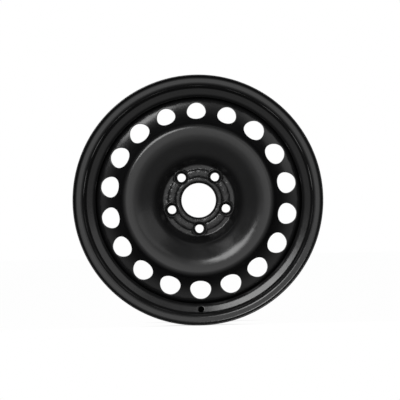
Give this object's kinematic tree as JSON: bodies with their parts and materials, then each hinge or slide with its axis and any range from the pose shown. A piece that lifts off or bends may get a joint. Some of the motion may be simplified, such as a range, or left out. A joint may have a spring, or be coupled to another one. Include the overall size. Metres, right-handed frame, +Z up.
{
  "type": "steel road wheel",
  "caption": "Pressed steel road wheel: a rolled drop-centre rim with a valve hole, welded to a dished disc with a hub bore, bolt seats and a ring of ventilation holes.",
  "frame": {"origin": "the wheel's centre: on its spin axis, midway between the two rim flanges", "axes": "+Y along the spin axis towards the vehicle, outboard face towards -Y, +Z up with the valve hole at the bottom"},
  "size_m": [0.4712, 0.2018, 0.4711],
  "materials": {
    "black_paint": "satin black dip coat"
  },
  "bodies": {
    "root": {"rim": "black_paint", "wheel_disc": "black_paint", "weld_beads": "black_paint"}
  },
  "joints": []
}
